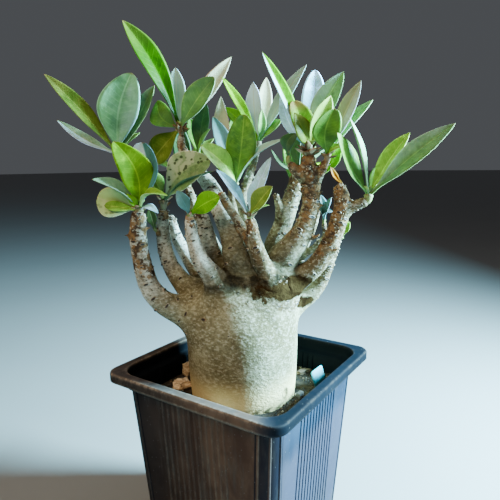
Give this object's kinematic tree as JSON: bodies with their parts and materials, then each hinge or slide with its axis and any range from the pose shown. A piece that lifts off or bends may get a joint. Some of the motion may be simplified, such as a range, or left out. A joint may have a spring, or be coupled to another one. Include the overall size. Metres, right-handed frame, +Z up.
{
  "type": "potted caudex plant",
  "caption": "Squat smooth caudex with a crown of short thick branches ending in fleshy leaf shoots, in a tall square black ribbed nursery pot.",
  "frame": {"origin": "middle of the pot's base, on the surface it stands on", "axes": "+Z up, +X square out of the pot's right wall, -Y square out of its front left wall as the picture shows them"},
  "size_m": [0.2188, 0.1705, 0.3442],
  "materials": {
    "pot": "satin, slightly worn and dusty",
    "soil": "rough, loose potting mix",
    "bark": "smooth pebbled skin, silver to olive tan",
    "leaf": "glossy upper side, paler matt underside",
    "withered": "dry and matt",
    "label": "satin, bare",
    "chip": "rough bark",
    "stone": "rough"
  },
  "bodies": {
    "root": {"pot": "pot", "soil": "soil", "caudex": "bark", "shoot_far_left": "leaf", "shoot_high_left": "leaf", "shoot_upper_left": "leaf", "shoot_left_twig": "leaf", "shoot_left": "leaf", "shoot_left_spur": "leaf", "shoot_inner_left": "leaf", "shoot_middle": "leaf", "shoot_crown": "leaf", "shoot_main": "leaf", "shoot_main_side": "leaf", "shoot_knob": "leaf", "shoot_spur": "leaf", "shoot_inner_right": "leaf", "shoot_right": "leaf", "shoot_young": "leaf", "shoot_low_right": "leaf", "shoot_front": "leaf", "shoot_back_left": "leaf", "shoot_back_middle": "leaf", "shoot_back_right": "leaf", "withered_leaf": "withered", "plant_label": "label", "bark_chip_1": "chip", "bark_chip_2": "chip", "bark_chip_3": "chip", "bark_chip_4": "chip", "bark_chip_5": "chip", "stone_1": "stone", "stone_2": "stone", "stone_3": "stone"}
  },
  "joints": []
}
